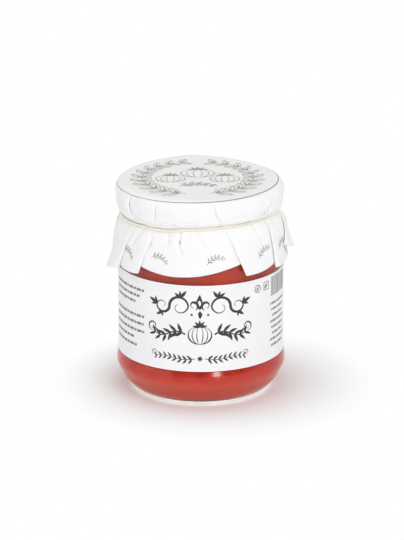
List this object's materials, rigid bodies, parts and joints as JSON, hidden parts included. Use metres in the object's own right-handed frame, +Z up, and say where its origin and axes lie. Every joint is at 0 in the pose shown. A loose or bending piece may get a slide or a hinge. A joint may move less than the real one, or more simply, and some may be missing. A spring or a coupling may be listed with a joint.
{
  "type": "jar of pasta sauce",
  "caption": "Glass jar of pasta sauce with a wrap-around paper label, its lid covered by a round pleated paper sheet tied with string.",
  "frame": {"origin": "centre of the ring that the jar stands on", "axes": "+Z up along the jar's axis, the front faces -Y, +X to the right seen from the front"},
  "size_m": [0.0739, 0.0729, 0.0879],
  "materials": {
    "glass": "clear, smooth",
    "sauce": "wet, slightly grainy",
    "lid": "white enamel",
    "label": "smooth, faint sheen",
    "cover": "matte, soft creases",
    "string": "twisted cotton",
    "ink": "printed"
  },
  "bodies": {
    "root": {"glass_jar": "glass", "sauce": "sauce", "lid": "lid", "label": "label", "paper_cover": "cover", "string": "string"}
  },
  "joints": []
}
